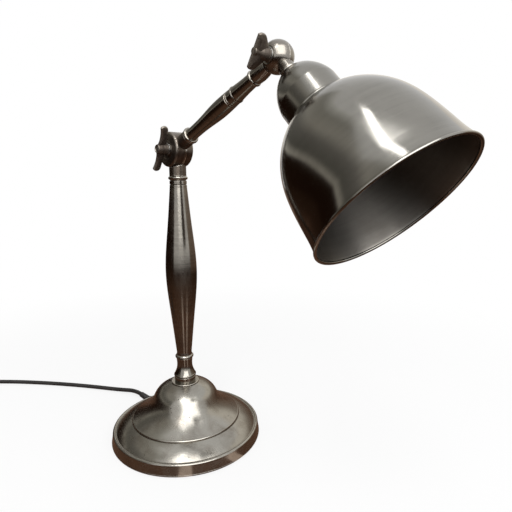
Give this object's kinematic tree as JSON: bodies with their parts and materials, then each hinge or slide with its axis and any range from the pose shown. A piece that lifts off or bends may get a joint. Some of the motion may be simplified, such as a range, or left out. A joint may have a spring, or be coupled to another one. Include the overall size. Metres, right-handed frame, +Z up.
{
  "type": "dome shade desk lamp",
  "caption": "Desk lamp with a spun dome shade, a turned arm and column joined by wing-nut knuckles, a round stepped base and a cord with an in-line switch.",
  "frame": {"origin": "centre of the base's underside, on the surface the lamp stands on", "axes": "+Z up along the column, +X from the column towards the shade, both hinge axes along Y with the wing nuts towards -Y"},
  "size_m": [0.5904, 0.3561, 0.3771],
  "materials": {
    "spun_metal": "aged pewter, fine lathe lines",
    "turned_metal": "aged pewter, fine lathe lines",
    "ring_metal": "aged pewter, polished edge",
    "knuckle_metal": "aged pewter, darker",
    "wing_metal": "aged pewter, dark cast",
    "steel_hardware": "satin zinc",
    "iron": "raw",
    "felt": "felt",
    "holder_black": "satin",
    "brass": "satin",
    "cord_black": "satin",
    "plug_black": "satin",
    "switch_black": "semi-gloss"
  },
  "bodies": {
    "stand": {"base_shell": "spun_metal", "base_weight": "iron", "base_felt": "felt", "tie_tube": "steel_hardware", "tie_tube_nut": "steel_hardware", "bell_collar": "ring_metal", "cord_bush": "cord_black", "inner_wire": "cord_black", "column_foot": "turned_metal", "column_lower_ring": "ring_metal", "column": "turned_metal", "column_upper_ring": "ring_metal", "column_knuckle": "knuckle_metal", "lower_bolt": "steel_hardware", "cord_lead": "cord_black", "cord_link": "cord_black", "cord_tail": "cord_black", "cord_coil": "cord_black", "switch_base": "switch_black", "switch_cover": "switch_black", "switch_pin": "steel_hardware", "plug_body": "plug_black", "plug_pins": "brass"},
    "arm": {"arm_knuckle": "knuckle_metal", "arm_lower_ring": "ring_metal", "arm": "turned_metal", "arm_upper_ring": "ring_metal", "arm_ball_half": "knuckle_metal", "arm_wire": "cord_black", "lower_washer": "steel_hardware", "upper_bolt": "steel_hardware"},
    "head": {"head_ball_half": "knuckle_metal", "stem_ring": "ring_metal", "holder_nipple": "steel_hardware", "cup": "spun_metal", "cup_nut": "steel_hardware", "holder_body": "holder_black", "holder_sleeve": "brass", "holder_contact": "brass", "shade": "spun_metal", "shade_ring": "holder_black", "head_wire": "cord_black", "upper_washer": "steel_hardware"},
    "lower_nut": {"lower_wing_nut": "wing_metal"},
    "upper_nut": {"upper_wing_nut": "wing_metal"},
    "rocker": {"switch_rocker": "switch_black"}
  },
  "joints": [
    {"name": "arm_tilt", "type": "hinge", "parent": "stand", "child": "arm", "pos_m": [0, -0.0023, 0.3056], "axis": [0, 1, 0], "range_deg": [-80, 35]},
    {"name": "head_tilt", "type": "hinge", "parent": "arm", "child": "head", "pos_m": [0.14199, -0.0023, 0.36471], "axis": [0, 1, 0], "range_deg": [-120, 35]},
    {"name": "lower_nut_turn", "type": "hinge", "parent": "stand", "child": "lower_nut", "pos_m": [0, -0.0128, 0.3056], "axis": [0, -1, 0], "range_deg": [0, 270]},
    {"name": "upper_nut_turn", "type": "hinge", "parent": "arm", "child": "upper_nut", "pos_m": [0.14199, -0.0139, 0.36471], "axis": [0, -1, 0], "range_deg": [0, 270]},
    {"name": "switch_rock", "type": "hinge", "parent": "stand", "child": "rocker", "pos_m": [-0.2905, -0.1835, 0.0112], "axis": [1, 0, 0], "range_deg": [-16, 0]}
  ]
}
